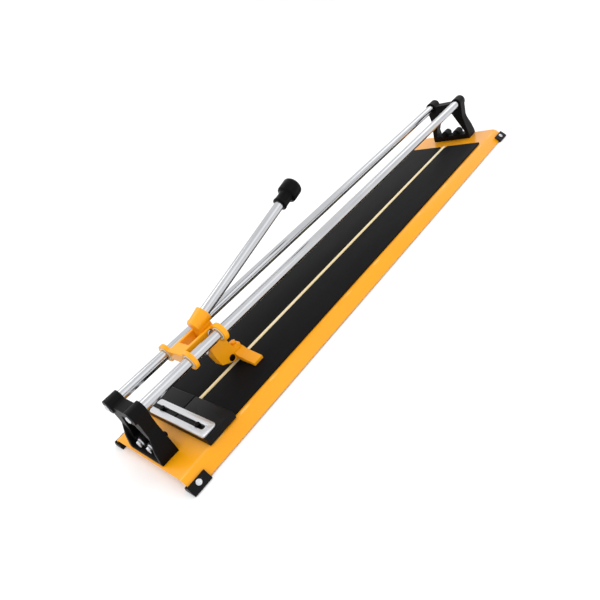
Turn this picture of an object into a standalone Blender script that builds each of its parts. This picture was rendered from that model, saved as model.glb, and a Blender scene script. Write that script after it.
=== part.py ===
"""Lever tile cutter: pressed steel bed, two guide bars and a sliding lever carriage.

X runs across the bed, +Y runs along it from the ruler end to the far end, +Z is up.
The origin is on the ground, under the middle of the bed.
"""
import math

import bmesh
import bpy
from mathutils import Matrix, Vector

MM = 0.001
GAP = 0.3 * MM                    # between pieces that touch on the real object
RUN_GAP = 0.35 * MM               # radial clearance of what slides or turns
EXTRA = 2.0 * MM                  # how far a cutter stands past the face it opens

# Bed
BED_LENGTH = 948 * MM
BED_WIDTH = 172 * MM              # flat top, fold to fold
SHEET = 1.5 * MM
SIDE_RUN = 17 * MM                # each sloped side, measured across
SIDE_DROP = 16 * MM               # and down
EDGE_HEIGHT = 3 * MM              # the sides' edges stand this far off the ground
BED_TOP = SIDE_DROP + EDGE_HEIGHT
STRIP_WIDTH = 7 * MM
STRIP_HEIGHT = 5.2 * MM
PAD_THICKNESS = 4 * MM
PAD_EDGE_INSET = 4 * MM           # pad edge to fold
PAD_FAR_MARGIN = 68 * MM          # bare steel past the pads at the far end
PAD_ROUND = 0.6 * MM              # rounding of the pads' edges
CORNER_CUT = 9 * MM               # bevelled pad corner beside the strip

# Fence and ruler
FENCE_START = 54.5 * MM           # from the near end of the bed
FENCE_DEPTH = 50 * MM
FENCE_HEIGHT = 13 * MM
FENCE_OVERHANG = 1.5 * MM         # past each fold
FENCE_ROUND = 1 * MM
GROOVE_WIDTH = 2.4 * MM
GROOVE_DEPTH = 3 * MM
RULER_LENGTH = 138 * MM
RULER_WIDTH = 25 * MM
RULER_THICKNESS = 3 * MM
RULER_OFFSET = 14 * MM            # ruler's middle, right of the strip
RULER_SLOT_WIDTH = 7 * MM
RULER_SLOT_MARGIN = 12 * MM       # closed end of the slot to the ruler's right end
RULER_CORNER = 5 * MM
RULER_EDGE = 1 * MM               # ruler stands past the fence's front face
RULER_SCREW_PITCH = 89 * MM
RULER_SCREW_MIDDLE = 10.5 * MM
RULER_SCREW_RADIUS = 2.5 * MM
RULER_SCREW_HEAD = 4.2 * MM       # radius of its domed head
PAN_HEAD = 1.9 * MM               # height of a domed screw head

# Guide bars and end brackets
RAIL_RADIUS = 8 * MM
RAIL_SPACING = 60 * MM
RAIL_HEIGHT = 79 * MM             # bar axis above the bed
BRACKET_TOE = 2.5 * MM            # foot's outer edge, from the end of the bed
BRACKET_BACK = 31 * MM            # inner face, from the end of the bed
BRACKET_FRONT = 12.5 * MM         # outer face above the toe
FOOT_HALF_WIDTH = 43 * MM
WAIST_HALF_WIDTH = 37.5 * MM
WAIST_HEIGHT = 50 * MM
FOOT_BAR = 9 * MM                 # height of the legs' straight lower part
TOE_HEIGHT = 4 * MM
TOE_RIB = 7 * MM                  # width of the rib each side of the toe
RIB_STEP = 3 * MM                 # the rib leans in by this much over its steep part
RIB_START = 5 * MM                # heights where the rib starts to lean in,
RIB_KNEE = 23 * MM                # bends,
RIB_END = 44 * MM                 # and meets the outer face
BOSS_RADIUS = 11.2 * MM
BOSS_FRONT = 9.5 * MM
BOSS_WALL = 5 * MM                # closed outer end of a boss
BOSS_LIP = 1 * MM                 # boss stands past the inner face
BRIDGE_RISE = 2 * MM              # bar between the bosses: above their axes
BRIDGE_DEPTH = 13 * MM            # and below them
WINDOW_SILL = 10.5 * MM
WINDOW_TOP = RAIL_HEIGHT - BRIDGE_DEPTH
WINDOW_CORNER = 4 * MM
WINDOW_FLARE = 1.5 * MM
WINDOW_TOP_HALF = 11 * MM
WINDOW_FOOT_HALF = 34 * MM
LUG_WIDTH = 9 * MM
LUG_HEIGHT = 18 * MM
BRACKET_BOLT_SPACING = 27 * MM
BRACKET_BOLT_HEIGHT = 14 * MM
BRACKET_BOLT_HEAD_RADIUS = 6.8 * MM
BRACKET_BOLT_HEAD = 6 * MM
BRACKET_BOLT_REACH = 4.3 * MM     # thread past the bracket's inner face
BOLT_BOSS_RADIUS = 8 * MM
BOLT_RADIUS = 2.5 * MM
BOLT_HEAD_RADIUS = 5.2 * MM
BOLT_HEAD = 3.6 * MM
NUT_CAVITY = 1.7 * MM             # inside a dome nut, past the bolt's tip
NUT_DOME = 1.8 * MM
NUT_WASHER = 1.3 * MM
NUT_WASHER_RADIUS = 6.4 * MM
END_SCREW_DEPTH = 14 * MM         # thread inside the guide bar
END_SCREW_HEAD = 2.4 * MM

# Corner feet
FOOT_LENGTH = 30 * MM
FOOT_TOP = 12.5 * MM              # start of the foot, measured down the slope
FOOT_SKIN = 2.6 * MM
FOOT_PAST_EDGE = 3 * MM
FOOT_INNER = 9 * MM               # foot's depth under the sheet
FOOT_TAB = 2.5 * MM               # wall across the end of the sheet
FOOT_SLOT_PAST = 6 * MM           # the sheet's slot runs out past the top of the foot
FOOT_SCREW_ALONG = 12.5 * MM
FOOT_SCREW_DOWN = 19 * MM
FOOT_SCREW_RADIUS = 1.8 * MM
FOOT_SCREW_HEAD = 4.2 * MM
FOOT_SCREW_BITE = 4 * MM          # thread below the sheet

# Carriage, about the lever's pivot, which lies level with the bar axes
CARRIAGE_REST = 170 * MM          # pivot, from the near end of the bed
RING_RADIUS = 14.5 * MM
RING_NEAR_FACE = -56 * MM
RING_NEAR_WIDTH = 6.5 * MM
RING_FAR_FACE = 1.5 * MM
RING_FAR_WIDTH = 8 * MM
BUSH_WALL = 2.2 * MM
CHEEK_INNER = 11.6 * MM
CHEEK_OUTER = 17 * MM
CHEEK_TOP = 9 * MM
CHEEK_BOTTOM = -8 * MM
WEB_LENGTH = 20 * MM
PIVOT_RADIUS = 4 * MM
PIVOT_HEAD_RADIUS = 6.4 * MM
PIVOT_HEAD = 2.8 * MM
PIVOT_CHAMFER = 1 * MM
PIVOT_WASHER_RIM = 3 * MM

# Lever
ARM_HALF_WIDTH = 9 * MM
ARM_TOP = 16 * MM                 # above the pivot
ARM_NEAR = 12 * MM                # near edge at its widest
ARM_NEAR_DROP = 40 * MM           # and how far down that is
ARM_CHEEK_DROP = 57.5 * MM        # where the near edge turns under the wheel
ARM_TAPER = 3.3 * MM              # the near edge has come in by this much there
ARM_FAR = 13 * MM                 # far edge below the pivot
ARM_THROAT_DROP = 28 * MM         # where the far edge starts to run out to the shelf
ARM_THROAT = 4 * MM
ARM_CHIN_DROP = 68.5 * MM         # lowest point, beside the wheel
ARM_FOOT_DROP = 56.2 * MM         # shelf that the breaker foot is screwed to
SHELF_SHORT = 2 * MM              # the shelf stops this far short of the breaker foot
STOP_SCREW_OUT = 14.5 * MM        # under its head, from the pivot
STOP_SCREW_DROP = 27 * MM
STOP_SCREW_LENGTH = 14 * MM
HANDLE_RISE = math.radians(13.6)
HANDLE_ABOVE_PIVOT = 20.5 * MM
SOCKET_RADIUS = 10.8 * MM          # at its closed end
SOCKET_MOUTH_RADIUS = 13 * MM
SOCKET_START = -12 * MM
SOCKET_LENGTH = 27 * MM
SOCKET_BORE_DEPTH = 19 * MM
HANDLE_RADIUS = 8 * MM
HANDLE_WALL = 1.5 * MM
HANDLE_LENGTH = 268 * MM          # from the bottom of the socket
KNOB_LENGTH = 47 * MM
KNOB_RADIUS = 16.5 * MM
KNOB_HEAD_LENGTH = 27 * MM
KNOB_COLLAR_RADIUS = 13 * MM
KNOB_NECK_RADIUS = 11 * MM
KNOB_BORE_DEPTH = 36 * MM
KNOB_BEVEL = 5 * MM               # how far the head's two slopes run along it
KNOB_EDGE = 1.5 * MM              # and in from its side
KNOB_NECK_RUN = 8 * MM
WHEEL_RADIUS = 11 * MM
WHEEL_HALF_WIDTH = 2.4 * MM
WHEEL_Y = 10.8 * MM
WHEEL_REACH = 71.1 * MM           # cutting edge, below the pivot
WHEEL_DROP = WHEEL_REACH - WHEEL_RADIUS
WHEEL_HUB = 4.6 * MM
WHEEL_RIM = 0.9 * MM              # half thickness outside the hub
WHEEL_BEVEL = 1.5 * MM
WHEEL_EDGE = 0.15 * MM            # half width of the cutting edge
WHEEL_SIDE_GAP = 0.8 * MM
WHEEL_ROOM = 1.5 * MM             # between the wheel's edge and its slot
AXLE_RADIUS = 3 * MM
AXLE_HEAD_RADIUS = 5.2 * MM
AXLE_HEAD = 2.8 * MM
AXLE_TAIL = 4 * MM                # past the arm, for the nut
BREAKER_HALF_WIDTH = 46 * MM
BREAKER_Y = 17.3 * MM
BREAKER_DEPTH = 18.7 * MM
BREAKER_TIP_DROP = 74 * MM
BREAKER_TIP_THICK = 5.5 * MM
BREAKER_BLOCK = 15 * MM           # half width of the thick middle
BREAKER_SHOULDER = 5 * MM         # from the shelf to the top of a wing's root
BREAKER_ROOT_DROP = 68 * MM       # underside of the middle
BREAKER_SCREW_REACH = 8 * MM      # below the shelf
BREAKER_SCREW_Y = 28 * MM
SHELF_TOP_DROP = 48 * MM
SHELF_ROOM = 8 * MM               # cleared above the shelf for the screw's head

ROUND = 32                        # sides of a large round piece
SMALL_ROUND = 16

# Where an outline's first, second and thickness directions point
PLANES = {
    "XY": Matrix(((1, 0, 0), (0, 1, 0), (0, 0, 1))),
    "XZ": Matrix(((1, 0, 0), (0, 0, 1), (0, 1, 0))),
    "YZ": Matrix(((0, 0, 1), (1, 0, 0), (0, 1, 0))),
}

NEAR = -BED_LENGTH / 2
RAIL_Z = BED_TOP + RAIL_HEIGHT
SLOPE = Vector((SIDE_RUN, 0, -SIDE_DROP)).normalized()
SLOPE_OUT = Vector((SIDE_DROP, 0, SIDE_RUN)).normalized()


def clear_scene():
    for obj in list(bpy.data.objects):
        bpy.data.objects.remove(obj, do_unlink=True)


def new_collection(name):
    collection = bpy.data.collections.new(name)
    bpy.context.scene.collection.children.link(collection)
    return collection


def finish(name, colour, roughness, metallic):
    material = bpy.data.materials.new(name)
    material.use_nodes = True
    shader = material.node_tree.nodes["Principled BSDF"]
    shader.inputs["Base Color"].default_value = (*colour, 1)
    shader.inputs["Roughness"].default_value = roughness
    shader.inputs["Metallic"].default_value = metallic
    return material


def place_empty(name, location, turn=0.0):
    empty = bpy.data.objects.new(name, None)
    empty.location = location
    empty.rotation_euler = (0, 0, turn)
    empty.empty_display_size = 20 * MM
    parts.objects.link(empty)
    return empty


def add(name, mesh, material, parent=None, matrix=None):
    """A sub-part: its mesh in its parent's frame, moved by matrix if one is given."""
    obj = bpy.data.objects.new(name, mesh)
    mesh.materials.clear()
    mesh.materials.append(material)
    obj.parent = parent
    if matrix is not None:
        obj.matrix_local = matrix
    parts.objects.link(obj)
    return obj


def shape(target, mesh, operation="DIFFERENCE", matrix=None):
    """Cut or join a helper solid, given in the target's own frame."""
    tool = bpy.data.objects.new(target.name + "_tool", mesh)
    tool.parent = target
    if matrix is not None:
        tool.matrix_local = matrix
    tool.hide_render = True
    tool.display_type = "WIRE"
    tools.objects.link(tool)
    modifier = target.modifiers.new(operation.lower(), "BOOLEAN")
    modifier.operation = operation
    modifier.object = tool
    return tool


def soften(obj, width, angle=40):
    modifier = obj.modifiers.new("edge", "BEVEL")
    modifier.width = width
    modifier.segments = 1
    modifier.limit_method = "ANGLE"
    modifier.angle_limit = math.radians(angle)


def to_mesh(bm, name):
    bmesh.ops.recalc_face_normals(bm, faces=bm.faces)
    mesh = bpy.data.meshes.new(name)
    bm.to_mesh(mesh)
    bm.free()
    return mesh


def smooth(mesh):
    mesh.shade_smooth()
    mesh.set_sharp_from_angle(angle=math.radians(35))
    return mesh


def box(low, high):
    """A box between two corners."""
    low, high = Vector(low), Vector(high)
    bm = bmesh.new()
    bmesh.ops.create_cube(bm, size=1)
    bmesh.ops.transform(bm, matrix=Matrix.Diagonal((*(high - low), 1)), verts=bm.verts)
    bmesh.ops.translate(bm, vec=(low + high) / 2, verts=bm.verts)
    return to_mesh(bm, "box")


def rod(radius, length, start=(0, 0, 0), axis=(0, 0, 1), sides=ROUND, end_radius=None):
    """A cylinder, or a cone to a second radius, that starts at a point and runs along an axis."""
    bm = bmesh.new()
    bmesh.ops.create_cone(bm, cap_ends=True, segments=sides, radius1=radius, radius2=end_radius or radius,
                          depth=length)
    bmesh.ops.translate(bm, vec=(0, 0, length / 2), verts=bm.verts)
    turn = Vector((0, 0, 1)).rotation_difference(Vector(axis)).to_matrix().to_4x4()
    bmesh.ops.transform(bm, matrix=Matrix.Translation(start) @ turn, verts=bm.verts)
    return smooth(to_mesh(bm, "rod"))


def prism(outline, low, high, plane="XY"):
    """A flat outline, filled, thick from low to high along the plane's third axis."""
    curve = bpy.data.curves.new("outline", "CURVE")
    curve.dimensions = "2D"
    curve.fill_mode = "BOTH"
    curve.extrude = (high - low) / 2
    spline = curve.splines.new("POLY")
    spline.points.add(len(outline) - 1)
    for point, (u, v) in zip(spline.points, outline):
        point.co = (u, v, 0, 1)
    spline.use_cyclic_u = True
    guide = bpy.data.objects.new("outline", curve)
    tools.objects.link(guide)
    bpy.context.view_layer.update()
    solid = bpy.data.meshes.new_from_object(guide.evaluated_get(bpy.context.evaluated_depsgraph_get()))
    bpy.data.objects.remove(guide, do_unlink=True)
    bm = bmesh.new()
    bm.from_mesh(solid)
    bmesh.ops.remove_doubles(bm, verts=bm.verts, dist=1e-6)
    bmesh.ops.translate(bm, vec=(0, 0, (low + high) / 2), verts=bm.verts)
    bmesh.ops.transform(bm, matrix=PLANES[plane].to_4x4(), verts=bm.verts)
    return to_mesh(bm, "prism")


def turned(name, profile, material, parent, matrix, steps=ROUND):
    """A turned piece: a profile of (radius, height) points, spun about its own Z."""
    bm = bmesh.new()
    verts = [bm.verts.new((radius, 0, height)) for radius, height in profile]
    for first, second in zip(verts, verts[1:]):
        bm.edges.new((first, second))
    if profile[0][0] > 0:
        bm.edges.new((verts[-1], verts[0]))
    mesh = bpy.data.meshes.new(name)
    bm.to_mesh(mesh)
    bm.free()
    obj = add(name, mesh, material, parent, matrix)
    screw = obj.modifiers.new("turn", "SCREW")
    screw.steps = steps
    screw.render_steps = steps
    screw.use_merge_vertices = True
    screw.merge_threshold = 0.00001
    bpy.context.view_layer.update()
    spun = bpy.data.meshes.new_from_object(obj.evaluated_get(bpy.context.evaluated_depsgraph_get()))
    obj.modifiers.clear()
    obj.data = smooth(spun)
    return obj


def domed_screw(head, height, shank, tip, seat=0.0):
    """Profile of a screw: a domed head that stands on its seat, and a shank down to its tip."""
    return [(0, seat + height), (head * 0.6, seat + height * 0.88), (head, seat + height * 0.4), (head, seat),
            (shank, seat), (shank, tip), (0, tip)]


def along(axis, point=(0, 0, 0)):
    """A frame at a point whose Z runs along an axis."""
    turn = Vector((0, 0, 1)).rotation_difference(Vector(axis)).to_matrix().to_4x4()
    return Matrix.Translation(point) @ turn


def arc(centre, radius, start, end, count):
    """Points on a circle, from one angle to another, in degrees."""
    angles = [math.radians(start + (end - start) * i / count) for i in range(count + 1)]
    return [(centre[0] + radius * math.cos(a), centre[1] + radius * math.sin(a)) for a in angles]


def slope_point(side, down, out=0.0, along_bed=0.0):
    """A point on a sloped side: distance down from the fold, and out from its face."""
    point = Vector((BED_WIDTH / 2, 0, 0)) + SLOPE * down + SLOPE_OUT * out
    return Vector((side * point.x, along_bed, point.z))


def side_name(end, side):
    """World name of a corner, from the end's own right-hand side."""
    right = side if end == "near" else -side
    return end + ("_right" if right > 0 else "_left")


def base_plate(ends):
    """Pressed steel tray: flat top, two sloped sides, and lugs that stand up into the brackets."""
    half = BED_WIDTH / 2
    profile = [(-half - SIDE_RUN, EDGE_HEIGHT), (-half, BED_TOP),
               (half, BED_TOP), (half + SIDE_RUN, EDGE_HEIGHT)]
    bm = bmesh.new()
    verts = [bm.verts.new((x, NEAR, z)) for x, z in profile]
    edges = [bm.edges.new(pair) for pair in zip(verts, verts[1:])]
    grown = bmesh.ops.extrude_edge_only(bm, edges=edges)["geom"]
    moved = [item for item in grown if isinstance(item, bmesh.types.BMVert)]
    bmesh.ops.translate(bm, vec=(0, BED_LENGTH, 0), verts=moved)
    for face in bm.faces:
        face.normal_update()
        if face.normal.z < 0:
            face.normal_flip()
    mesh = bpy.data.meshes.new("base_plate")
    bm.to_mesh(mesh)
    bm.free()
    plate = add("base_plate", mesh, yellow)
    wall = plate.modifiers.new("sheet", "SOLIDIFY")
    wall.thickness = SHEET
    wall.offset = -1
    wall.use_even_offset = True
    for end in ends:
        for side in (-1, 1):
            middle = side * BRACKET_BOLT_SPACING / 2
            low = (middle - LUG_WIDTH / 2, lug_y() - SHEET / 2, -SHEET / 2)
            high = (middle + LUG_WIDTH / 2, lug_y() + SHEET / 2, LUG_HEIGHT)
            shape(plate, box(low, high), "UNION", end.matrix_basis)
            hole_start = (middle, lug_y() - LUG_WIDTH / 2, BRACKET_BOLT_HEIGHT)
            hole = rod(BOLT_RADIUS + GAP, LUG_WIDTH, hole_start, (0, 1, 0), SMALL_ROUND)
            shape(plate, hole, "DIFFERENCE", end.matrix_basis)
            screw = slope_point(side, FOOT_SCREW_DOWN, EXTRA, FOOT_SCREW_ALONG)
            inward = Vector((-side * SLOPE_OUT.x, 0, -SLOPE_OUT.z))
            hole = rod(FOOT_SCREW_RADIUS + GAP, SHEET + 2 * EXTRA, screw, inward, SMALL_ROUND)
            shape(plate, hole, "DIFFERENCE", end.matrix_basis)


def lug_y():
    """Middle of the lugs, from the end of the bed: half way through the bracket's body."""
    return (BRACKET_FRONT + BRACKET_BACK) / 2


def breaker_strip():
    """Round-topped steel strip that the tile snaps over."""
    half = STRIP_WIDTH / 2
    top = [(half * math.cos(a), (STRIP_HEIGHT - half / 2) + half / 2 * math.sin(a))
           for a in (math.radians(180 * i / 8) for i in range(9))]
    outline = [(x, BED_TOP + z) for x, z in [(half, GAP), *top, (-half, GAP)]]
    start, end = pad_span()
    add("breaker_strip", prism(outline, start, end, "XZ"), cream)


def pad_span():
    """The pads and the strip run from the fence to the bare steel at the far end."""
    return NEAR + FENCE_START + FENCE_DEPTH + GAP, -NEAR - PAD_FAR_MARGIN


def pads():
    """Two rubber sheets either side of the strip, bevelled beside it at the far end."""
    start, end = pad_span()
    inner = STRIP_WIDTH / 2 + GAP
    outer = BED_WIDTH / 2 - PAD_EDGE_INSET
    for side, name in ((-1, "pad_left"), (1, "pad_right")):
        outline = [(inner, start), (outer, start), (outer, end), (inner + CORNER_CUT / 2, end),
                   (inner, end - CORNER_CUT)]
        outline = [(side * x, y) for x, y in outline]
        pad = add(name, prism(outline, BED_TOP + GAP, BED_TOP + GAP + PAD_THICKNESS), rubber)
        soften(pad, PAD_ROUND)


def fence_and_ruler():
    """Moulded fence across the near end, with the slotted ruler held on it by two screws."""
    half = BED_WIDTH / 2 + FENCE_OVERHANG
    start = NEAR + FENCE_START
    top = BED_TOP + FENCE_HEIGHT
    fence = add("fence", box((-half, start, BED_TOP + GAP), (half, start + FENCE_DEPTH, top)), plastic)
    soften(fence, FENCE_ROUND)
    groove = box((-GROOVE_WIDTH / 2, start - EXTRA, top - GROOVE_DEPTH),
                 (GROOVE_WIDTH / 2, start + FENCE_DEPTH + EXTRA, top + EXTRA))
    shape(fence, groove)

    middle = Vector((RULER_OFFSET, start - RULER_EDGE + RULER_WIDTH / 2, top + GAP))
    slide = place_empty("ruler_slide", middle)
    bar = rounded_rectangle(RULER_LENGTH, RULER_WIDTH, RULER_CORNER)
    ruler = add("ruler", prism(bar, 0, RULER_THICKNESS), aluminium, slide)
    slot_length = RULER_LENGTH - RULER_SLOT_MARGIN + RULER_SLOT_WIDTH
    slot = rounded_rectangle(slot_length, RULER_SLOT_WIDTH, RULER_SLOT_WIDTH / 2 - GAP)
    closed_end = RULER_LENGTH / 2 - RULER_SLOT_MARGIN
    slot = [(x + closed_end - slot_length / 2, y) for x, y in slot]
    shape(ruler, prism(slot, -EXTRA, RULER_THICKNESS + EXTRA))

    for side, name in ((-1, "left"), (1, "right")):
        x = RULER_SCREW_MIDDLE + side * RULER_SCREW_PITCH / 2
        foot = -FENCE_HEIGHT / 2
        hole = rod(RULER_SCREW_RADIUS + GAP, FENCE_HEIGHT, (x, middle.y, top + foot - GAP), sides=SMALL_ROUND)
        shape(fence, hole)
        profile = domed_screw(RULER_SCREW_HEAD, PAN_HEAD, RULER_SCREW_RADIUS, foot, RULER_THICKNESS + 2 * GAP)
        seat = Matrix.Translation((x, middle.y, top))
        turned("ruler_screw_" + name, profile, black, None, seat, SMALL_ROUND)


def rounded_rectangle(length, width, radius):
    """Outline centred on its own origin, with rounded corners."""
    x, y = length / 2 - radius, width / 2 - radius
    points = []
    for centre, start in (((x, y), 0), ((-x, y), 90), ((-x, -y), 180), ((x, -y), 270)):
        points += arc(centre, radius, start, start + 90, 5)
    return points


def bracket(end, frame):
    """Cast A-shaped end bracket: two bosses for the guide bars on splayed legs, over a foot bar."""
    half = RAIL_SPACING / 2
    waist = (WAIST_HALF_WIDTH, WAIST_HEIGHT)
    crown = arc((half, RAIL_HEIGHT), BOSS_RADIUS, -20, 150, 10)
    right = [(FOOT_HALF_WIDTH, GAP), (FOOT_HALF_WIDTH, FOOT_BAR), waist, *crown]
    right.append((half - BOSS_RADIUS, RAIL_HEIGHT + BRIDGE_RISE))
    outline = right + [(-x, z) for x, z in reversed(right)]
    body = add("bracket_" + end, prism(outline, BRACKET_TOE, BRACKET_BACK, "XZ"), black, frame)

    edge = [(WINDOW_FOOT_HALF, WINDOW_SILL), (WINDOW_FOOT_HALF + WINDOW_FLARE, WINDOW_SILL + WINDOW_CORNER),
            (WINDOW_TOP_HALF + 2 * WINDOW_FLARE, WINDOW_TOP - WINDOW_CORNER), (WINDOW_TOP_HALF, WINDOW_TOP)]
    window = edge + [(-x, z) for x, z in reversed(edge)]
    shape(body, prism(window, BRACKET_TOE - EXTRA, BRACKET_BACK + EXTRA, "XZ"))

    inner = FOOT_HALF_WIDTH - TOE_RIB
    past = BRACKET_TOE - EXTRA
    above = RAIL_HEIGHT + 2 * BOSS_RADIUS
    shape(body, box((-inner, past, TOE_HEIGHT), (inner, BRACKET_FRONT, above)))
    lean = [(past, RIB_START), (BRACKET_TOE, RIB_START), (BRACKET_TOE + RIB_STEP, RIB_KNEE),
            (BRACKET_FRONT, RIB_END), (BRACKET_FRONT, above), (past, above)]
    shape(body, prism(lean, -FOOT_HALF_WIDTH - EXTRA, FOOT_HALF_WIDTH + EXTRA, "YZ"))

    for side in (-1, 1):
        boss_start = (side * half, BOSS_FRONT, RAIL_HEIGHT)
        boss = rod(BOSS_RADIUS, BRACKET_BACK - BOSS_FRONT + BOSS_LIP, boss_start, (0, 1, 0))
        shape(body, boss, "UNION")
        hump = (side * BRACKET_BOLT_SPACING / 2, BRACKET_FRONT, BRACKET_BOLT_HEIGHT)
        shape(body, rod(BOLT_BOSS_RADIUS, BRACKET_BACK - BRACKET_FRONT, hump, (0, 1, 0)), "UNION")
    for side in (-1, 1):
        x = side * half
        bore = rod(RAIL_RADIUS + GAP, BRACKET_BACK, (x, BOSS_FRONT + BOSS_WALL, RAIL_HEIGHT), (0, 1, 0))
        shape(body, bore)
        shape(body, rod(BOLT_RADIUS + GAP, BRACKET_BACK, (x, 0, RAIL_HEIGHT), (0, 1, 0), SMALL_ROUND))
        bolt_x = side * BRACKET_BOLT_SPACING / 2
        bolt_start = (bolt_x, 0, BRACKET_BOLT_HEIGHT)
        shape(body, rod(BOLT_RADIUS + GAP, BRACKET_BACK + EXTRA, bolt_start, (0, 1, 0), SMALL_ROUND))
        slot_half = SHEET / 2 + GAP
        pocket_low = (bolt_x - LUG_WIDTH / 2 - GAP, lug_y() - slot_half, -EXTRA)
        pocket_high = (bolt_x + LUG_WIDTH / 2 + GAP, lug_y() + slot_half, LUG_HEIGHT + GAP)
        shape(body, box(pocket_low, pocket_high))

        name = side_name(end, side)
        head_end = (bolt_x, BRACKET_FRONT - GAP - BRACKET_BOLT_HEAD, BRACKET_BOLT_HEIGHT)
        bolt = add("bracket_bolt_" + name, hex_head(BRACKET_BOLT_HEAD, BRACKET_BOLT_HEAD_RADIUS), zinc, frame,
                   along((0, 1, 0), head_end))
        reach = BRACKET_BOLT_HEAD / 2 + GAP + BRACKET_BACK - BRACKET_FRONT + BRACKET_BOLT_REACH
        shank = rod(BOLT_RADIUS, reach, (0, 0, BRACKET_BOLT_HEAD / 2), sides=SMALL_ROUND)
        shape(bolt, shank, "UNION")
        cap = BRACKET_BOLT_REACH + NUT_CAVITY
        inside = BOLT_RADIUS + GAP
        dome = [(0, cap + NUT_DOME), (BOLT_HEAD_RADIUS / 2, cap + NUT_DOME * 2 / 3),
                (BOLT_HEAD_RADIUS * 0.85, cap - NUT_DOME / 2), (BOLT_HEAD_RADIUS, cap / 2),
                (BOLT_HEAD_RADIUS, NUT_WASHER), (NUT_WASHER_RADIUS, NUT_WASHER), (NUT_WASHER_RADIUS, 0),
                (inside, 0), (inside, cap), (0, cap)]
        turned("bracket_nut_" + name, dome, black, frame,
               along((0, 1, 0), (bolt_x, BRACKET_BACK + GAP, BRACKET_BOLT_HEIGHT)), SMALL_ROUND)


def hex_head(height, radius=BOLT_HEAD_RADIUS):
    """Hexagon head, standing on its own origin."""
    return rod(radius, height, sides=6)


def rails():
    """Two chrome-plated guide bars, tapped at each end and drawn into the bosses by screws."""
    start = NEAR + BOSS_FRONT + BOSS_WALL + GAP
    length = -2 * start
    for side, name in ((-1, "left"), (1, "right")):
        x = side * RAIL_SPACING / 2
        bar = add("guide_bar_" + name, rod(RAIL_RADIUS, length, (x, start, RAIL_Z), (0, 1, 0)), chrome)
        for end, y, way in (("near", start, 1), ("far", -start, -1)):
            mouth = (x, y - way * EXTRA, RAIL_Z)
            shape(bar, rod(BOLT_RADIUS + GAP, END_SCREW_DEPTH + EXTRA, mouth, (0, way, 0), SMALL_ROUND))
            seat = y - way * (BOSS_WALL + 2 * GAP)
            tip = -(BOSS_WALL + END_SCREW_DEPTH - GAP)
            profile = domed_screw(BOLT_HEAD_RADIUS, END_SCREW_HEAD, BOLT_RADIUS, tip)
            turned("bar_screw_" + end + "_" + name, profile, zinc, None,
                   along((0, -way, 0), (x, seat, RAIL_Z)), SMALL_ROUND)


def corner_foot(end, side, frame):
    """Moulded foot that hooks over a lower corner of the bed, held by one screw."""
    edge = SIDE_DROP / SLOPE.z * -1
    outer_top = slope_point(side, FOOT_TOP, FOOT_SKIN)
    outer_low = slope_point(side, edge + FOOT_PAST_EDGE, FOOT_SKIN)
    inner_top = slope_point(side, FOOT_TOP, -SHEET - FOOT_SKIN)
    ground = -BED_TOP
    outline = [(outer_top.x, outer_top.z), (outer_low.x, outer_low.z), (outer_low.x, ground),
               (inner_top.x - side * FOOT_INNER, ground), (inner_top.x - side * FOOT_INNER / 2, inner_top.z),
               (inner_top.x, inner_top.z)]
    name = side_name(end, side)
    foot = add("foot_" + name, prism(outline, -FOOT_TAB, FOOT_LENGTH - FOOT_TAB, "XZ"), plastic, frame)
    face = slope_point(side, FOOT_TOP - FOOT_SLOT_PAST, GAP)
    lip = slope_point(side, edge + GAP, GAP)
    back = slope_point(side, edge + GAP, -SHEET - GAP)
    rear = slope_point(side, FOOT_TOP - FOOT_SLOT_PAST, -SHEET - GAP)
    sheet = [(face.x, face.z), (lip.x, lip.z), (back.x, back.z), (rear.x, rear.z)]
    shape(foot, prism(sheet, -GAP, FOOT_LENGTH, "XZ"))
    outward = Vector((side * SLOPE_OUT.x, 0, SLOPE_OUT.z))
    seat = slope_point(side, FOOT_SCREW_DOWN, FOOT_SKIN + GAP, FOOT_SCREW_ALONG)
    shank = FOOT_SKIN + SHEET + FOOT_SCREW_BITE
    hole = rod(FOOT_SCREW_RADIUS + GAP, shank + 2 * EXTRA, seat + outward * EXTRA, -outward, SMALL_ROUND)
    shape(foot, hole)
    profile = domed_screw(FOOT_SCREW_HEAD, PAN_HEAD, FOOT_SCREW_RADIUS, -shank)
    turned("foot_screw_" + name, profile, zinc, frame, along(outward, seat), SMALL_ROUND)


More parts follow.
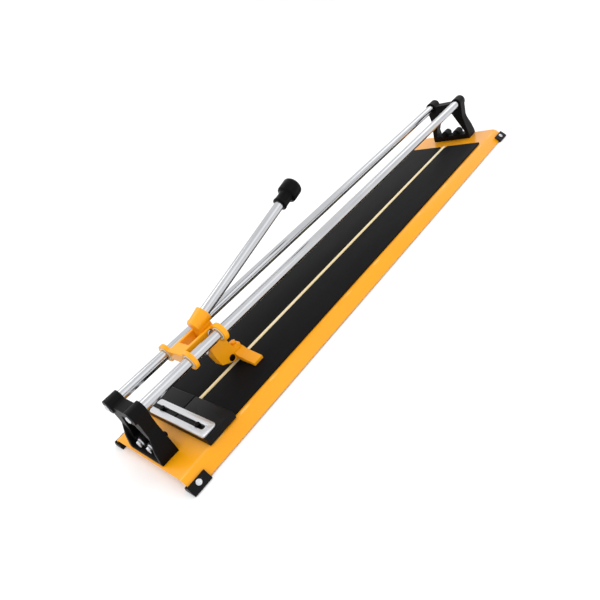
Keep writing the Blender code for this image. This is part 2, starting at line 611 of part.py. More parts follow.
def carriage(frame):
    """Cast frame with four rings on the guide bars, and cheeks that hold the lever's pivot."""
    near_end = RING_NEAR_FACE
    far_end = RING_FAR_FACE + RING_FAR_WIDTH
    spine = box((-CHEEK_OUTER, near_end, CHEEK_BOTTOM), (CHEEK_OUTER, far_end, CHEEK_TOP))
    body = add("carriage_frame", spine, yellow, frame)
    half = RAIL_SPACING / 2
    stations = (("near", RING_NEAR_FACE, RING_NEAR_WIDTH), ("far", RING_FAR_FACE, RING_FAR_WIDTH))
    for side in (-1, 1):
        for _, face, width in stations:
            shape(body, rod(RING_RADIUS, width, (side * half, face, 0), (0, 1, 0)), "UNION")
    bush_outer = RAIL_RADIUS + RUN_GAP + BUSH_WALL
    for side in (-1, 1):
        bore_start = (side * half, near_end - EXTRA, 0)
        shape(body, rod(bush_outer + GAP, far_end - near_end + 2 * EXTRA, bore_start, (0, 1, 0)))
    slot_low = (-CHEEK_INNER, near_end + WEB_LENGTH, CHEEK_BOTTOM - EXTRA)
    slot_high = (CHEEK_INNER, far_end + EXTRA, CHEEK_TOP + EXTRA)
    shape(body, box(slot_low, slot_high))
    pin_start = (-2 * CHEEK_OUTER, 0, 0)
    shape(body, rod(PIVOT_RADIUS + GAP, 4 * CHEEK_OUTER, pin_start, (1, 0, 0), SMALL_ROUND))

    inner = RAIL_RADIUS + RUN_GAP
    for side, hand in ((-1, "left"), (1, "right")):
        for end, face, width in stations:
            profile = [(inner, width), (bush_outer, width), (bush_outer, 0), (inner, 0)]
            turned("bush_" + end + "_" + hand, profile, nylon, frame,
                   along((0, 1, 0), (side * half, face, 0)))

    seat = CHEEK_OUTER - PIVOT_HEAD
    for side in (-1, 1):
        recess_start = (side * seat, 0, 0)
        recess = rod(PIVOT_HEAD_RADIUS + GAP, PIVOT_HEAD + EXTRA, recess_start, (side, 0, 0), SMALL_ROUND)
        shape(body, recess)
    profile = [(0, CHEEK_OUTER), (PIVOT_HEAD_RADIUS - PIVOT_CHAMFER, CHEEK_OUTER),
               (PIVOT_HEAD_RADIUS, CHEEK_OUTER - PIVOT_CHAMFER), (PIVOT_HEAD_RADIUS, seat + GAP),
               (PIVOT_RADIUS, seat + GAP), (PIVOT_RADIUS, -CHEEK_OUTER), (0, -CHEEK_OUTER)]
    turned("pivot_pin", profile, zinc, frame, along((1, 0, 0)), SMALL_ROUND)
    bore = PIVOT_RADIUS + GAP
    clip = [(bore, -seat - GAP), (PIVOT_HEAD_RADIUS, -seat - GAP),
            (PIVOT_HEAD_RADIUS, -seat - PIVOT_HEAD / 2), (bore, -seat - PIVOT_HEAD / 2)]
    turned("pivot_clip", clip, zinc, frame, along((1, 0, 0)), SMALL_ROUND)
    for side, hand in ((-1, "left"), (1, "right")):
        wide = CHEEK_INNER - ARM_HALF_WIDTH - 2 * GAP
        edge = bore + PIVOT_WASHER_RIM
        washer = [(bore, wide), (edge, wide), (edge, 0), (bore, 0)]
        x = ARM_HALF_WIDTH + GAP if side > 0 else -CHEEK_INNER + GAP
        turned("pivot_washer_" + hand, washer, zinc, frame, along((1, 0, 0), (x, 0, 0)), SMALL_ROUND)


def socket_frame():
    """Z along the handle, from the closed end of its socket."""
    axis = Vector((0, math.cos(HANDLE_RISE), math.sin(HANDLE_RISE)))
    start = Vector((0, SOCKET_START, HANDLE_ABOVE_PIVOT + SOCKET_START * math.tan(HANDLE_RISE)))
    return along(axis, start)


def lever(frame):
    """Cast lever: handle socket above the pivot, wheel fork and breaker shelf below it."""
    shelf = -ARM_FOOT_DROP
    shelf_end = BREAKER_Y + BREAKER_DEPTH - SHELF_SHORT
    throat = ARM_FAR + ARM_THROAT
    outline = [(-ARM_NEAR + SHELF_SHORT, ARM_TOP), (-ARM_NEAR, -ARM_NEAR_DROP),
               (-ARM_NEAR + ARM_TAPER, -ARM_CHEEK_DROP), (ARM_FAR, -ARM_CHIN_DROP),
               (BREAKER_Y - GAP, -ARM_CHIN_DROP), (BREAKER_Y - GAP, shelf),
               (shelf_end, shelf), (shelf_end, -SHELF_TOP_DROP),
               (throat + ARM_THROAT, -SHELF_TOP_DROP + SHELF_SHORT), (throat, -ARM_THROAT_DROP),
               (ARM_FAR, CHEEK_BOTTOM), (ARM_NEAR, ARM_TOP)]
    arm = add("lever_arm", prism(outline, -ARM_HALF_WIDTH, ARM_HALF_WIDTH, "YZ"), yellow, frame)
    socket = socket_frame()
    shape(arm, rod(SOCKET_RADIUS, SOCKET_LENGTH, end_radius=SOCKET_MOUTH_RADIUS), "UNION", socket)
    floor = SOCKET_LENGTH - SOCKET_BORE_DEPTH
    shape(arm, rod(HANDLE_RADIUS + GAP, SOCKET_BORE_DEPTH + EXTRA, (0, 0, floor)), "DIFFERENCE", socket)
    pin_start = (-2 * ARM_HALF_WIDTH, 0, 0)
    shape(arm, rod(PIVOT_RADIUS + RUN_GAP, 4 * ARM_HALF_WIDTH, pin_start, (1, 0, 0), SMALL_ROUND))
    axle_at = (0, WHEEL_Y, -WHEEL_DROP)
    slot_half = WHEEL_HALF_WIDTH + WHEEL_SIDE_GAP
    shape(arm, rod(WHEEL_RADIUS + WHEEL_ROOM, 2 * slot_half, (-slot_half, WHEEL_Y, -WHEEL_DROP), (1, 0, 0)))
    bore_start = (-2 * ARM_HALF_WIDTH, WHEEL_Y, -WHEEL_DROP)
    shape(arm, rod(AXLE_RADIUS + GAP, 4 * ARM_HALF_WIDTH, bore_start, (1, 0, 0), SMALL_ROUND))
    recess = ARM_HALF_WIDTH - AXLE_HEAD
    recess_start = (recess, WHEEL_Y, -WHEEL_DROP)
    shape(arm, rod(AXLE_HEAD_RADIUS + GAP, AXLE_HEAD + EXTRA, recess_start, (1, 0, 0), SMALL_ROUND))

    profile = [(0, ARM_HALF_WIDTH), (AXLE_HEAD_RADIUS, ARM_HALF_WIDTH), (AXLE_HEAD_RADIUS, recess + GAP),
               (AXLE_RADIUS, recess + GAP), (AXLE_RADIUS, -ARM_HALF_WIDTH - AXLE_TAIL),
               (0, -ARM_HALF_WIDTH - AXLE_TAIL)]
    turned("wheel_axle", profile, black, frame, along((1, 0, 0), axle_at), SMALL_ROUND)
    nut = add("axle_nut", hex_head(BOLT_HEAD), zinc, frame,
              along((-1, 0, 0), (-ARM_HALF_WIDTH - GAP, WHEEL_Y, -WHEEL_DROP)))
    shape(nut, rod(AXLE_RADIUS + GAP, BOLT_HEAD + 2 * EXTRA, (0, 0, -EXTRA), sides=SMALL_ROUND))

    wheel_seat = place_empty("wheel_axis", axle_at)
    wheel_seat.parent = frame
    upper = [(AXLE_RADIUS + GAP, WHEEL_HALF_WIDTH), (WHEEL_HUB, WHEEL_HALF_WIDTH), (WHEEL_HUB, WHEEL_RIM),
             (WHEEL_RADIUS - WHEEL_BEVEL, WHEEL_RIM), (WHEEL_RADIUS, WHEEL_EDGE)]
    profile = upper + [(radius, -height) for radius, height in reversed(upper)]
    turned("scoring_wheel", profile, carbide, wheel_seat, along((1, 0, 0)))

    adjuster = add("stop_screw", hex_head(BOLT_HEAD), zinc, frame,
                   along((0, 1, 0), (0, -STOP_SCREW_OUT - BOLT_HEAD - GAP, -STOP_SCREW_DROP)))
    shape(adjuster, rod(BOLT_RADIUS, STOP_SCREW_LENGTH, (0, 0, BOLT_HEAD / 2), sides=SMALL_ROUND), "UNION")
    hole_start = (0, -STOP_SCREW_OUT - EXTRA, -STOP_SCREW_DROP)
    shape(arm, rod(BOLT_RADIUS + GAP, STOP_SCREW_LENGTH + EXTRA, hole_start, (0, 1, 0), SMALL_ROUND))
    return arm


def breaker_foot(frame, arm):
    """Cast foot with two drooping wings that press the tile either side of the scored line."""
    tip = -BREAKER_TIP_DROP
    root_low = -BREAKER_ROOT_DROP
    right = [(BREAKER_HALF_WIDTH, tip), (BREAKER_HALF_WIDTH, tip + BREAKER_TIP_THICK),
             (BREAKER_BLOCK, -ARM_FOOT_DROP - BREAKER_SHOULDER), (ARM_HALF_WIDTH, -ARM_FOOT_DROP - GAP)]
    outline = right + [(-x, z) for x, z in reversed(right)]
    outline += [(-BREAKER_BLOCK / 2, root_low), (BREAKER_BLOCK / 2, root_low)]
    foot = add("breaker_foot", prism(outline, BREAKER_Y, BREAKER_Y + BREAKER_DEPTH, "XZ"), yellow, frame)
    slot_half = WHEEL_HALF_WIDTH + WHEEL_SIDE_GAP
    shape(foot, rod(WHEEL_RADIUS + WHEEL_ROOM, 2 * slot_half, (-slot_half, WHEEL_Y, -WHEEL_DROP), (1, 0, 0)))
    depth = ARM_FOOT_DROP - SHELF_TOP_DROP + BREAKER_SCREW_REACH
    hole_start = (0, BREAKER_SCREW_Y, -SHELF_TOP_DROP + 2 * EXTRA)
    hole = rod(BOLT_RADIUS + GAP, depth + 3 * EXTRA, hole_start, (0, 0, -1), SMALL_ROUND)
    shape(foot, hole)
    shape(arm, hole.copy())
    near_side = BREAKER_SCREW_Y - BOLT_HEAD_RADIUS - 3 * GAP
    far_side = BREAKER_SCREW_Y + 4 * BOLT_HEAD_RADIUS
    shape(arm, box((-2 * ARM_HALF_WIDTH, near_side, -SHELF_TOP_DROP),
                   (2 * ARM_HALF_WIDTH, far_side, -SHELF_TOP_DROP + SHELF_ROOM)))
    screw = add("breaker_screw", hex_head(BOLT_HEAD), yellow, frame,
                Matrix.Translation((0, BREAKER_SCREW_Y, -SHELF_TOP_DROP + GAP)))
    shape(screw, rod(BOLT_RADIUS, depth, (0, 0, BOLT_HEAD / 2), (0, 0, -1), SMALL_ROUND), "UNION")


def handle(frame):
    """Chrome tube pressed into the socket, with a turned plastic knob on its end."""
    socket = socket_frame()
    start = SOCKET_LENGTH - SOCKET_BORE_DEPTH + GAP
    end = start + HANDLE_LENGTH
    inner = HANDLE_RADIUS - HANDLE_WALL
    tube = [(inner, end), (HANDLE_RADIUS, end), (HANDLE_RADIUS, start), (inner, start)]
    turned("handle_tube", tube, chrome, frame, socket)

    top = end - KNOB_BORE_DEPTH + KNOB_LENGTH + GAP
    bottom = top - KNOB_LENGTH
    shoulder = top - KNOB_HEAD_LENGTH
    bore = HANDLE_RADIUS + GAP
    rim = KNOB_RADIUS - KNOB_EDGE
    outside = [(0, top), (KNOB_RADIUS - KNOB_BEVEL, top), (rim, top - KNOB_EDGE),
               (KNOB_RADIUS, top - KNOB_BEVEL), (KNOB_RADIUS, shoulder + KNOB_BEVEL),
               (rim, shoulder + KNOB_EDGE), (KNOB_NECK_RADIUS + KNOB_EDGE, shoulder - KNOB_EDGE),
               (KNOB_NECK_RADIUS, shoulder - KNOB_NECK_RUN),
               (KNOB_COLLAR_RADIUS, bottom + KNOB_EDGE), (KNOB_COLLAR_RADIUS, bottom)]
    inside = [(bore, bottom), (bore, end + GAP), (0, end + GAP)]
    turned("knob", outside + inside, plastic, frame, socket)


clear_scene()
parts = new_collection("tile_cutter")
tools = new_collection("cutters")
yellow = finish("yellow_paint", (0.93, 0.44, 0.03), 0.35, 0.0)
cream = finish("pale_yellow_paint", (0.86, 0.68, 0.38), 0.35, 0.0)
rubber = finish("black_rubber", (0.03, 0.03, 0.035), 0.75, 0.0)
black = finish("black_paint", (0.02, 0.02, 0.022), 0.35, 0.0)
plastic = finish("black_plastic", (0.03, 0.03, 0.032), 0.45, 0.0)
chrome = finish("chrome_plate", (0.75, 0.75, 0.77), 0.12, 1.0)
zinc = finish("zinc_plate", (0.68, 0.68, 0.7), 0.3, 1.0)
aluminium = finish("aluminium", (0.78, 0.78, 0.79), 0.32, 1.0)
carbide = finish("tungsten_carbide", (0.45, 0.45, 0.47), 0.28, 1.0)
nylon = finish("nylon", (0.78, 0.73, 0.62), 0.45, 0.0)

near_frame = place_empty("near_end", (0, NEAR, BED_TOP))
far_frame = place_empty("far_end", (0, -NEAR, BED_TOP), math.pi)
carriage_frame = place_empty("carriage_slide", (0, NEAR + CARRIAGE_REST, RAIL_Z))
lever_frame = place_empty("lever_pivot", (0, 0, 0))
lever_frame.parent = carriage_frame
bpy.context.view_layer.update()

base_plate((near_frame, far_frame))
breaker_strip()
pads()
fence_and_ruler()
for end_name, end_frame in (("near", near_frame), ("far", far_frame)):
    bracket(end_name, end_frame)
    for hand in (-1, 1):
        corner_foot(end_name, hand, end_frame)
rails()
carriage(carriage_frame)
breaker_foot(lever_frame, lever(lever_frame))
handle(lever_frame)
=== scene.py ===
"""Manual tile cutter: the finished look of each piece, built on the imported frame."""

import math

import bpy
from mathutils import Matrix, Quaternion, Vector


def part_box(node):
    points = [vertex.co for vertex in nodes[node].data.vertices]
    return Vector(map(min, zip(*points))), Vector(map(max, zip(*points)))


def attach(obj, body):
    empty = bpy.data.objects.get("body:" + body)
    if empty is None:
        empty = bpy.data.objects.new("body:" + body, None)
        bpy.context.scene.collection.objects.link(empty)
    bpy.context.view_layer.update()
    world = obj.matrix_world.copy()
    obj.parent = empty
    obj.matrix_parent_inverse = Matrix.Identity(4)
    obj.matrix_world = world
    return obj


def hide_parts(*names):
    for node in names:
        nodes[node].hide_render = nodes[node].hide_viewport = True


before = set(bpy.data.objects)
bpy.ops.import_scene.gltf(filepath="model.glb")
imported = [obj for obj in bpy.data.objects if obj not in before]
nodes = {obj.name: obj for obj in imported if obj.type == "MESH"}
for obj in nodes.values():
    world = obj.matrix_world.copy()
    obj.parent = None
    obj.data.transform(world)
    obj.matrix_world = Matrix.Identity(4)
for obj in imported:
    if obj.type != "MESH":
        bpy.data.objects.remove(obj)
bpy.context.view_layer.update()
MM = 0.001


# ---- Camera ----
# It stands off the near right corner, looks down along the bed, and leans over
# so that the bed runs from one corner of the view to the other.
eye = Vector((0.6131, -0.5711, 0.4469))
aim = Vector((0.0041, -0.1320, 0.0191))
lean = math.radians(26.5)
camera_data = bpy.data.cameras.new("camera")
camera_data.lens = 31.04
camera = bpy.data.objects.new("camera", camera_data)
camera.location = eye
camera.rotation_mode = "QUATERNION"
camera.rotation_quaternion = (aim - eye).to_track_quat("-Z", "Y") @ Quaternion((0, 0, 1), -lean)
bpy.context.scene.collection.objects.link(camera)
bpy.context.scene.camera = camera


# ---- Shader maths ----
# A socket that can be added, multiplied and so on; each sum makes its Math node.
class Wire:
    def __init__(self, tree, socket):
        self.tree = tree
        self.socket = socket

    def node(self, kind, settings=None, inputs=None, output=0):
        """Any node: its settings go in first, then its sockets' values or links."""
        made = self.tree.nodes.new(kind)
        for name, value in (settings or {}).items():
            setattr(made, name, value)
        for name, value in (inputs or {}).items():
            if isinstance(value, Wire):
                self.tree.links.new(value.socket, made.inputs[name])
            else:
                made.inputs[name].default_value = value
        return Wire(self.tree, made.outputs[output])

    def maths(self, operation, first, second=0.0):
        return self.node("ShaderNodeMath", {"operation": operation}, {0: first, 1: second})

    def __add__(self, other):
        return self.maths("ADD", self, other)

    def __sub__(self, other):
        return self.maths("SUBTRACT", self, other)

    def __rsub__(self, other):
        return self.maths("SUBTRACT", other, self)

    def __mul__(self, other):
        return self.maths("MULTIPLY", self, other)

    def size(self):
        """The same without its sign."""
        return self.maths("ABSOLUTE", self)

    __radd__ = __add__
    __rmul__ = __mul__

    def noise(self, scale, detail=2.0, stretch=(1, 1, 1)):
        """Noise from 0 to 1, drawn out along an axis by a stretch below 1."""
        at = self.node("ShaderNodeMapping", None, {"Vector": self, "Scale": stretch})
        return self.node("ShaderNodeTexNoise", None, {"Vector": at, "Scale": scale, "Detail": detail})

    def band(self, low, high):
        """0 below low, 1 above high, and a smooth rise between them."""
        return self.node("ShaderNodeMapRange", {"interpolation_type": "SMOOTHSTEP"},
                         {"Value": self, "From Min": low, "From Max": high})

    def tint(self, first, second):
        """The first colour where this is 0, the second where it is 1."""
        return self.node("ShaderNodeMix", {"data_type": "RGBA"}, {0: self, 6: first, 7: second}, 2)

    def bump(self, depth):
        """A surface normal from this as a height, depth metres deep."""
        return self.node("ShaderNodeBump", None, {"Height": self, "Strength": 1.0, "Distance": depth})

    def axis(self, name):
        """One axis of a position."""
        return self.node("ShaderNodeSeparateXYZ", None, {0: self}, name)


def finish(name, steady, varied):
    """A material: steady socket values, and a recipe that gives the ones that vary."""
    made = bpy.data.materials.new(name)
    made.use_nodes = True
    tree = made.node_tree
    shader = tree.nodes["Principled BSDF"]
    for socket, value in steady.items():
        shader.inputs[socket].default_value = value
    place = Wire(tree, tree.nodes.new("ShaderNodeTexCoord").outputs["Object"])
    for socket, wire in varied(place).items():
        tree.links.new(wire.socket, shader.inputs[socket])
    return made


def colour(red, green, blue):
    """A display colour, 0 to 255, as the shader's own numbers."""
    parts = [value / 255 for value in (red, green, blue)]
    return (*[part / 12.92 if part <= 0.04045 else ((part + 0.055) / 1.055) ** 2.4 for part in parts], 1)


# ---- Floor and light ----
# A pale studio floor, an even pale surround, and three soft panels.
bpy.ops.mesh.primitive_plane_add(size=80, location=(0, 0, -0.0005))
floor = bpy.context.active_object
floor.name = "floor"
floor.data.materials.append(finish("floor_paper", {"Roughness": 0.9}, lambda place: {
    "Base Color": place.noise(0.6).tint(colour(252, 252, 252), colour(249, 249, 250))}))

world = bpy.data.worlds.new("surround")
bpy.context.scene.world = world
world.use_nodes = True
world.node_tree.nodes["Background"].inputs["Color"].default_value = (1, 1, 1, 1)
world.node_tree.nodes["Background"].inputs["Strength"].default_value = 1.06
bpy.context.scene.view_settings.view_transform = "Standard"

for name, spot, width, power in (
        ("key", (-0.9, -0.5, 1.9), 1.2, 9),
        ("fill", (1.6, 0.4, 1.3), 1.4, 3),
        ("back", (0.2, 1.9, 1.2), 1.0, 3)):
    panel_data = bpy.data.lights.new(name, "AREA")
    panel_data.size = width
    panel_data.energy = power
    panel = bpy.data.objects.new(name, panel_data)
    panel.location = spot
    panel.rotation_mode = "QUATERNION"
    panel.rotation_quaternion = (-Vector(spot)).to_track_quat("-Z", "Y")
    bpy.context.scene.collection.objects.link(panel)


# ---- Bed ----
# One pressed steel sheet: a flat top, rounded folds and two sloping sides.
# Stove-painted orange-yellow, with a fine orange-peel surface, and a painted highlight along the folds.
TOUCH = 0.3 * MM                  # between pieces that touch
SHEET = 1.5 * MM
FOLD_ROUND = 4.5 * MM
CUT_ROUND = 0.3 * MM              # rounding of the sheet's cut edges
PAD_INSET = 4 * MM                # pad edge to fold
bed_low, bed_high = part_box("base_plate")
bed_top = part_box("pad_left")[0].z - TOUCH
fold_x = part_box("pad_right")[1].x + PAD_INSET


def only(piece):
    """Select this piece alone."""
    bpy.ops.object.select_all(action="DESELECT")
    piece.select_set(True)
    bpy.context.view_layer.objects.active = piece


def settle(piece):
    """Put the place of a new piece into its mesh."""
    only(piece)
    bpy.ops.object.transform_apply(location=True, rotation=True, scale=True)


def apply(piece, kind, **settings):
    """Add a modifier with these settings and apply it."""
    only(piece)
    modifier = piece.modifiers.new(kind.lower(), kind)
    for name, value in settings.items():
        setattr(modifier, name, value)
    bpy.ops.object.modifier_apply(modifier=modifier.name)


def shade(piece, angle=30):
    """Shade smooth, apart from the edges sharper than an angle in degrees."""
    only(piece)
    bpy.ops.object.shade_smooth_by_angle(angle=math.radians(angle))


def round_edges(piece, width, segments=3, angle=30):
    """Round the edges sharper than an angle, and shade what is left smooth."""
    apply(piece, "BEVEL", width=width, segments=segments, limit_method="ANGLE",
          angle_limit=math.radians(angle))
    shade(piece, angle)


def pick_edges(mesh, test):
    """Select the edges whose two ends pass a test; call it in object mode."""
    for part in (*mesh.vertices, *mesh.edges, *mesh.polygons):
        part.select = False
    for edge in mesh.edges:
        if all(test(mesh.vertices[end].co) for end in edge.vertices):
            edge.select = True
            for end in edge.vertices:
                mesh.vertices[end].select = True


def fit(piece, name, material, slot, body, *replaced):
    """Name a finished piece, dress it, and hang it on its body for the nodes it stands for."""
    piece.name = name
    piece.data.materials.clear()
    piece.data.materials.append(material)
    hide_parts(*replaced)
    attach(piece, body)


def yellow_recipe(place):
    broad = place.noise(9, 3)
    peel = place.noise(900, 1)
    speck = place.noise(420, 2).band(0.73, 0.78) * 0.35
    paint = broad.tint(colour(243, 158, 4), colour(251, 170, 11))
    return {"Base Color": speck.tint(paint, colour(206, 132, 20)),
            "Roughness": broad * 0.12 + 0.26,
            "Normal": (peel + speck).bump(0.00004)}


yellow = finish("yellow_paint", {"Metallic": 0.0, "Specular IOR Level": 0.3,
                                 "Coat Weight": 0.12, "Coat Roughness": 0.12}, yellow_recipe)


def bed_recipe(place):
    looks = yellow_recipe(place)
    across = place.axis("X").size()
    at_fold = 1 - (across - fold_x).size().band(0.0002, 0.0022)
    # Painted highlight: the paint is lightened in broken streaks along the rounded folds, where the light
    # catches them.
    rub_wear_and_painted_highlight = at_fold * place.noise(160, 4, (1, 0.2, 1)).band(0.52, 0.66) * 0.55
    scuff = place.noise(70, 5, (1, 0.05, 1)).band(0.66, 0.72) * 0.18
    looks["Base Color"] = (rub_wear_and_painted_highlight + scuff).tint(looks["Base Color"], colour(255, 214, 120))
    return looks


bed_yellow = finish("bed_paint", {"Specular IOR Level": 0.3,
                                  "Coat Weight": 0.1, "Coat Roughness": 0.15}, bed_recipe)

bpy.ops.mesh.primitive_plane_add(size=2)
bed = bpy.context.active_object
bed.scale = (fold_x, bed_high.y, 1)
bed.location = (0, 0, bed_top)
settle(bed)
for side in (-1, 1):
    pick_edges(bed.data, lambda point: point.x * side > fold_x - MM)
    bpy.ops.object.mode_set(mode="EDIT")
    bpy.ops.mesh.extrude_region_move(TRANSFORM_OT_translate={
        "value": (side * (bed_high.x - fold_x), 0, bed_low.z - bed_top)})
    bpy.ops.object.mode_set(mode="OBJECT")
pick_edges(bed.data, lambda point: abs(abs(point.x) - fold_x) < MM and point.z > bed_top - MM)
for edge in bed.data.edges:
    ends = [bed.data.vertices[end].co for end in edge.vertices]
    edge.select = edge.select and ends[0].x * ends[1].x > 0
bpy.ops.object.mode_set(mode="EDIT")
bpy.ops.mesh.bevel(offset=FOLD_ROUND, segments=8)
bpy.ops.mesh.select_all(action="SELECT")
bpy.ops.mesh.normals_make_consistent(inside=False)
bpy.ops.object.mode_set(mode="OBJECT")
if bed.data.polygons[0].normal.z < 0:
    bed.data.flip_normals()
apply(bed, "SOLIDIFY", thickness=SHEET, offset=-1, use_even_offset=True)
round_edges(bed, CUT_ROUND, 2, 50)
fit(bed, "bed_pressing", bed_yellow, "yellow_paint", "bed", "base_plate")


# ---- Breaker strip ----
# A round-topped steel strip, painted pale and laid down the middle of the bed,
# that the tile snaps over. Its cream colour is partly that paint and partly a
# painted highlight on the round top, and its paler patches are painted highlight.
def from_node(node):
    """A copy of a node's solid as one clean mesh."""
    piece = bpy.data.objects.new(node + "_work", nodes[node].data.copy())
    bpy.context.scene.collection.objects.link(piece)
    only(piece)
    bpy.ops.object.mode_set(mode="EDIT")
    bpy.ops.mesh.select_all(action="SELECT")
    bpy.ops.mesh.remove_doubles(threshold=0.00001)
    bpy.ops.mesh.dissolve_limited(angle_limit=math.radians(0.3))
    bpy.ops.object.mode_set(mode="OBJECT")
    return piece


def strip_recipe(place):
    patches = place.noise(60, 4, (1, 0.15, 1))
    # Paler patches of painted highlight over the round top.
    painted_highlight_patches = patches.band(0.5, 0.68) * 0.6
    return {"Base Color": painted_highlight_patches.tint(colour(248, 224, 170), colour(253, 238, 204)),
            "Roughness": patches * 0.2 + 0.25,
            "Normal": patches.bump(0.00005)}


cream = finish("pale_yellow_paint", {"Coat Weight": 0.3}, strip_recipe)
strip = from_node("breaker_strip")
round_edges(strip, 0.15 * MM, 1, 40)
fit(strip, "breaker_strip_bar", cream, "pale_yellow_paint", "bed", "breaker_strip")


# ---- Pads ----
# Two sheets of black rubber, glued either side of the strip. They have a fine
# pebbled face, and grey where tiles have rubbed on them.
def rubber_recipe(place):
    pebble = place.noise(1400, 2)
    rub_wear_and_painted_highlight = place.noise(22, 5, (1, 0.3, 1))
    dusty = rub_wear_and_painted_highlight.band(0.45, 0.8) * 0.5
    return {"Base Color": dusty.tint(colour(15, 15, 16), colour(26, 26, 27)),
            "Roughness": rub_wear_and_painted_highlight * 0.2 + 0.55,
            "Normal": (pebble + place.noise(300, 1) * 0.6).bump(0.00008)}


rubber = finish("black_rubber", {"Specular IOR Level": 0.08}, rubber_recipe)
for hand in ("left", "right"):
    pad = from_node("pad_" + hand)
    round_edges(pad, 0.3 * MM, 2, 40)
    fit(pad, "pad_sheet_" + hand, rubber, "black_rubber", "bed", "pad_" + hand)


# ---- Fence ----
# A moulded black plastic block screwed across the bed, square to the strip,
# with a sighting groove in line with the wheel.
def plastic_recipe(place):
    grain = place.noise(1900, 2)
    flow = place.noise(24, 3)
    return {"Base Color": flow.tint(colour(9, 9, 10), colour(17, 17, 18)),
            "Roughness": flow * 0.15 + grain * 0.12 + 0.3,
            "Normal": grain.bump(0.00005)}


plastic = finish("black_plastic", {"Specular IOR Level": 0.12}, plastic_recipe)
fence = from_node("fence")
round_edges(fence, 0.7 * MM, 3, 40)
fit(fence, "fence_moulding", plastic, "black_plastic", "bed", "fence")


# ---- Ruler ----
# A slotted aluminium bar, brushed along its length. Two screws through its slot
# clamp it on the fence, and it slides across when they are slackened.
def aluminium_recipe(place):
    brushed = place.noise(500, 3, (0.02, 1, 1))
    stain = place.noise(40, 3)
    return {"Base Color": brushed.tint(colour(196, 197, 200), colour(224, 225, 228)),
            "Roughness": brushed * 0.16 + stain * 0.1 + 0.2,
            "Normal": brushed.bump(0.00003)}


aluminium = finish("aluminium", {"Metallic": 0.85}, aluminium_recipe)
ruler = from_node("ruler")
round_edges(ruler, 0.4 * MM, 2, 40)
fit(ruler, "ruler_bar", aluminium, "aluminium", "ruler", "ruler")


# ---- Brackets ----
# Two iron castings in satin black paint. The sand casting leaves round edges,
# filled corners and a slightly rough skin.
CAST_GRID = 0.7 * MM


def cast(piece, grid=CAST_GRID, passes=6):
    """Round a square-edged shape all over, as a casting is, corners and all."""
    apply(piece, "REMESH", mode="VOXEL", voxel_size=grid)
    apply(piece, "SMOOTH", factor=0.5, iterations=passes)
    only(piece)
    bpy.ops.object.shade_smooth()


def black_recipe(place):
    skin = place.noise(700, 3)
    broad = place.noise(30, 2)
    return {"Base Color": broad.tint(colour(3, 3, 4), colour(8, 8, 9)),
            "Roughness": skin * 0.2 + broad * 0.12 + 0.3,
            "Normal": (skin + place.noise(180, 2)).bump(0.00012)}


black = finish("black_paint", {"Specular IOR Level": 0.1}, black_recipe)
for end in ("near", "far"):
    bracket = from_node("bracket_" + end)
    cast(bracket)
    fit(bracket, "bracket_casting_" + end, black, "black_paint", "bed", "bracket_" + end)


# ---- Screws, bolts and nuts ----
# Turned and pressed steel, zinc plated; the dome nuts and ruler screws are drawn black.
# Each kind is shaped once upright, and its copies are turned into place.
def zinc_recipe(place):
    turned = place.noise(1600, 2)
    cloud = place.noise(120, 3)
    return {"Base Color": cloud.tint(colour(184, 186, 190), colour(226, 228, 232)),
            "Roughness": turned * 0.14 + cloud * 0.16 + 0.14,
            "Normal": turned.bump(0.00002)}


zinc = finish("zinc_plate", {"Metallic": 1.0}, zinc_recipe)


def turn(profile, sides=48):
    """A turned solid: a disc drawn out and resized along a profile of (radius, height)."""
    bpy.ops.object.select_all(action="DESELECT")
    radius, height = profile[0]
    bpy.ops.mesh.primitive_circle_add(vertices=sides, radius=radius, fill_type="NGON",
                                      location=(0, 0, height))
    piece = bpy.context.active_object
    settle(piece)
    bpy.ops.object.mode_set(mode="EDIT")
    bpy.ops.mesh.select_all(action="SELECT")
    for (radius, height), (next_radius, next_height) in zip(profile, profile[1:]):
        bpy.ops.mesh.extrude_region_move(TRANSFORM_OT_translate={"value": (0, 0, next_height - height)})
        grow = next_radius / radius
        bpy.ops.transform.resize(value=(grow, grow, 1), center_override=(0, 0, 0))
    bpy.ops.mesh.select_all(action="SELECT")
    bpy.ops.mesh.normals_make_consistent(inside=False)
    bpy.ops.object.mode_set(mode="OBJECT")
    return piece


def stand(piece, at, way):
    """Stand an upright piece on a point, pointing a way."""
    turned = Vector((0, 0, 1)).rotation_difference(Vector(way)).to_matrix().to_4x4()
    piece.data.transform(Matrix.Translation(at) @ turned)


def copy_of(pattern):
    """A copy of a piece with its own mesh."""
    piece = bpy.data.objects.new(pattern.name, pattern.data.copy())
    bpy.context.scene.collection.objects.link(piece)
    return piece


def place_copies(pattern, rows):
    """Fit a copy of a pattern for each row, then put the pattern away."""
    for name, at, way, material, slot, body, node in rows:
        piece = copy_of(pattern)
        stand(piece, at, way)
        fit(piece, name, material, slot, body, node)
    bpy.data.objects.remove(pattern, do_unlink=True)


def seat_of(node, way):
    """Middle of the end of a node's box that lies back along a way, where its tip is."""
    low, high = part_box(node)
    middle = (low + high) / 2
    return middle - Vector([(high - low)[i] / 2 * way[i] for i in range(3)])


def end_of(node, way):
    """Middle of the end of a node's box that faces a way: the top of a screw's head."""
    low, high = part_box(node)
    return (low + high) / 2 + Vector([(high - low)[i] / 2 * way[i] for i in range(3)])


def cross_cut(piece, reach, width, top, depth):
    """A cross recess in the top of a screw."""
    for long_way in ((reach, width), (width, reach)):
        bpy.ops.mesh.primitive_cube_add(size=1, location=(0, 0, top))
        cutter = bpy.context.active_object
        cutter.scale = (*long_way, 2 * depth)
        settle(cutter)
        apply(piece, "BOOLEAN", operation="DIFFERENCE", object=cutter)
        bpy.data.objects.remove(cutter, do_unlink=True)


